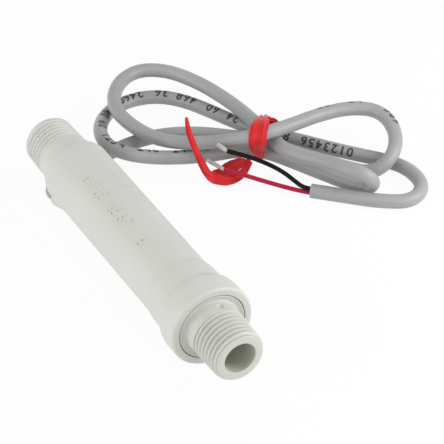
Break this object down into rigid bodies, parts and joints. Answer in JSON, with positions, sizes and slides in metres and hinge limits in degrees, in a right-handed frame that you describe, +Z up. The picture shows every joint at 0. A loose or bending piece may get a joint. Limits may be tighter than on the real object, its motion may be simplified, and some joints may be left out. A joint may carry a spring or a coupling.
{
  "type": "piston flow sensor",
  "caption": "In-line piston flow sensor: a moulded barrel threaded at both ends, with a sprung magnetic piston, a potted reed switch and a tied-up cable with bare wire ends.",
  "frame": {"origin": "bottom centre of the sensor's box without its cable: mid-way between the two port faces, on the sensor's centre plane, at the level of the surface it lies on", "axes": "+X along the bore in the direction of flow, from the inlet fitting to the outlet thread; +Z up; the cable hood points down and to +Y"},
  "size_m": [0.1243, 0.0973, 0.0217],
  "materials": {
    "housing_plastic": "off-white moulded polymer, satin",
    "fitting_plastic": "off-white moulded polymer, satin",
    "seal_rubber": "smooth black rubber ring",
    "piston_plastic": "natural moulded polymer",
    "magnet_ferrite": "dark sintered magnet",
    "spring_steel": "drawn stainless wire",
    "reed_glass": "clear, faintly green",
    "reed_metal": "plated nickel-iron blade",
    "solder": "dull solder",
    "red_insulation": "crimson wire insulation",
    "black_insulation": "black wire insulation",
    "potting_resin": "amber casting resin",
    "jacket_vinyl": "pale grey soft vinyl",
    "tinned_copper": "tinned copper strands",
    "tie_plastic": "glossy red ribbon"
  },
  "bodies": {
    "sensor": {"housing": "housing_plastic", "end_fitting": "fitting_plastic", "end_fitting_seal": "seal_rubber", "return_spring": "spring_steel", "reed_capsule": "reed_glass", "reed_blade_inner": "reed_metal", "reed_blade_outer": "reed_metal", "solder_joint_inner": "solder", "solder_joint_outer": "solder", "inner_lead_red": "red_insulation", "inner_lead_black": "black_insulation", "potting": "potting_resin", "cable_jacket": "jacket_vinyl", "wire_red": "red_insulation", "wire_black": "black_insulation", "strands_red": "tinned_copper", "strands_black": "tinned_copper", "tie_ribbon": "tie_plastic"},
    "piston": {"piston": "piston_plastic", "piston_magnet": "magnet_ferrite", "magnet_plug": "piston_plastic"}
  },
  "joints": [
    {"name": "piston_slide", "type": "slide", "parent": "sensor", "child": "piston", "axis": [1, 0, 0], "range_m": [0, 0.012], "stiffness_N_per_m": 40, "springref_m": -0.004, "deforming": ["return_spring"]}
  ]
}
